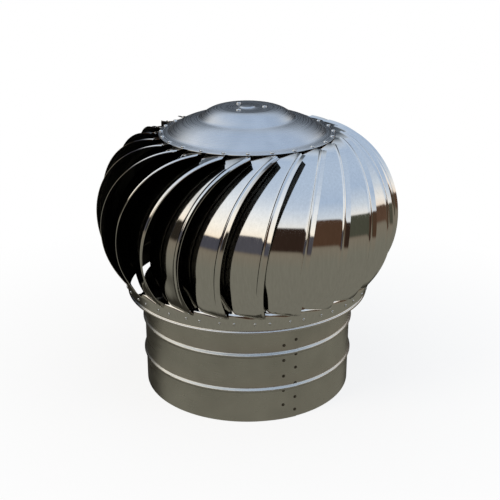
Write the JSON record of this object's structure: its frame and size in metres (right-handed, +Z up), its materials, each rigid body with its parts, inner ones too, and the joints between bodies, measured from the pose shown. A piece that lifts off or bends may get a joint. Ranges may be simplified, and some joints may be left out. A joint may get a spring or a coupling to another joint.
{
  "type": "roof turbine ventilator",
  "caption": "Wind-driven roof ventilator: a ball-shaped rotor of overlapping curved vanes spins above a round throat collar and draws air up from the duct below.",
  "frame": {"origin": "centre of the throat collar's lower rim, on the rotor's axis", "axes": "+Z up along the rotor's axis; -Y is the side seen at the front of the picture"},
  "size_m": [0.419, 0.419, 0.4044],
  "materials": {
    "vane_steel": "mirror-polished stainless sheet",
    "cap_steel": "spun stainless, fine circular brushing",
    "collar_steel": "dull cold-rolled stainless sheet",
    "zinc_steel": "zinc-plated flat bar",
    "bright_steel": "bright drawn steel",
    "bearing_steel": "ground bearing steel",
    "turned_aluminium": "turned aluminium"
  },
  "bodies": {
    "base": {"throat_collar": "collar_steel", "support_bracket": "zinc_steel", "centre_shaft": "bright_steel", "spacer_sleeve": "bright_steel", "clamp_washer": "zinc_steel", "clamp_nut": "zinc_steel", "shaft_circlip": "bright_steel", "bearing_inner_races": "bearing_steel"},
    "rotor": {"top_cap": "cap_steel", "upper_bearing_housing": "turned_aluminium", "lower_bearing_housing": "turned_aluminium", "bearing_outer_races": "bearing_steel", "rotor_spider": "zinc_steel", "bottom_ring": "vane_steel", "vane_01": "vane_steel", "vane_02": "vane_steel", "vane_03": "vane_steel", "vane_04": "vane_steel", "vane_05": "vane_steel", "vane_06": "vane_steel", "vane_07": "vane_steel", "vane_08": "vane_steel", "vane_09": "vane_steel", "vane_10": "vane_steel", "vane_11": "vane_steel", "vane_12": "vane_steel", "vane_13": "vane_steel", "vane_14": "vane_steel", "vane_15": "vane_steel", "vane_16": "vane_steel", "vane_17": "vane_steel", "vane_18": "vane_steel", "vane_19": "vane_steel", "vane_20": "vane_steel", "vane_21": "vane_steel", "vane_22": "vane_steel", "vane_23": "vane_steel", "vane_24": "vane_steel"}
  },
  "joints": [
    {"name": "rotor_spin", "type": "hinge", "parent": "base", "child": "rotor", "pos_m": [0, 0, 0.25], "axis": [0, 0, 1], "continuous": true}
  ]
}
